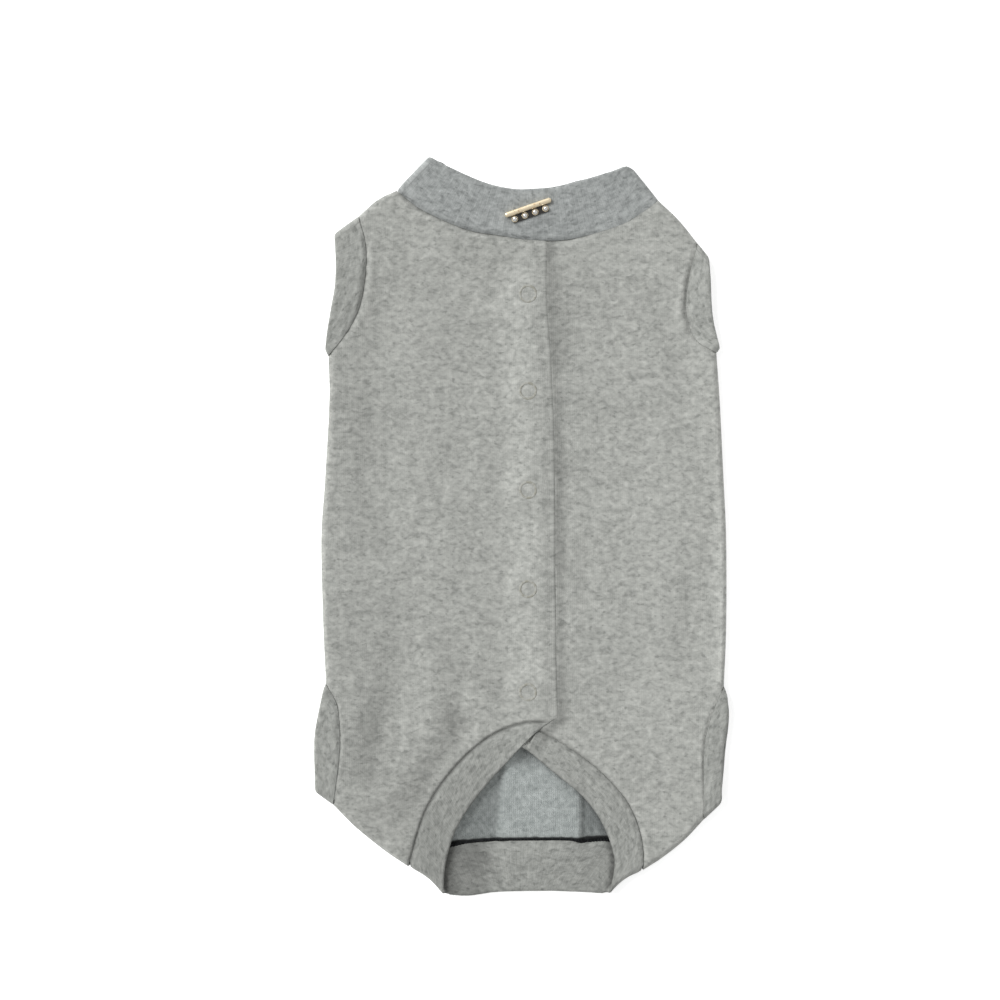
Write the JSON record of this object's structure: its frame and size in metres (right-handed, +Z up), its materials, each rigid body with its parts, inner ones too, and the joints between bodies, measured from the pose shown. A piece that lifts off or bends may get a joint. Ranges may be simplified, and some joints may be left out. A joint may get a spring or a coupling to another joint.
{
  "type": "cat bodysuit",
  "caption": "Sleeveless grey marl knit cat bodysuit laid flat belly side up, with snap placket, rib collar, rib leg bands, rear opening and a small collar bar.",
  "frame": {"origin": "centre of the bounding box's bottom face, on the surface the garment lies on", "axes": "+Y towards the neck, +X towards the right of the laid garment seen from above, +Z up from the surface through the belly side"},
  "size_m": [0.208, 0.3697, 0.009],
  "materials": {
    "marl_knit": "brushed marl sweatshirt knit",
    "marl_rib": "marl rib knit, folded double",
    "snap_metal": "pale muted metal",
    "gold_metal": "polished gold tone"
  },
  "bodies": {
    "root": {"back": "marl_knit", "front_left": "marl_knit", "front_right": "marl_knit", "collar": "marl_rib", "armhole_band_left": "marl_rib", "armhole_band_right": "marl_rib", "leg_band_left": "marl_rib", "leg_band_right": "marl_rib", "rear_band": "marl_rib", "snap_ring_1": "snap_metal", "snap_ring_2": "snap_metal", "snap_ring_3": "snap_metal", "snap_ring_4": "snap_metal", "snap_ring_5": "snap_metal", "snap_body_1": "snap_metal", "snap_body_2": "snap_metal", "snap_body_3": "snap_metal", "snap_body_4": "snap_metal", "snap_body_5": "snap_metal", "collar_bar": "gold_metal", "collar_stud_1": "gold_metal", "collar_stud_2": "gold_metal", "collar_stud_3": "gold_metal", "collar_stud_4": "gold_metal"}
  },
  "joints": []
}
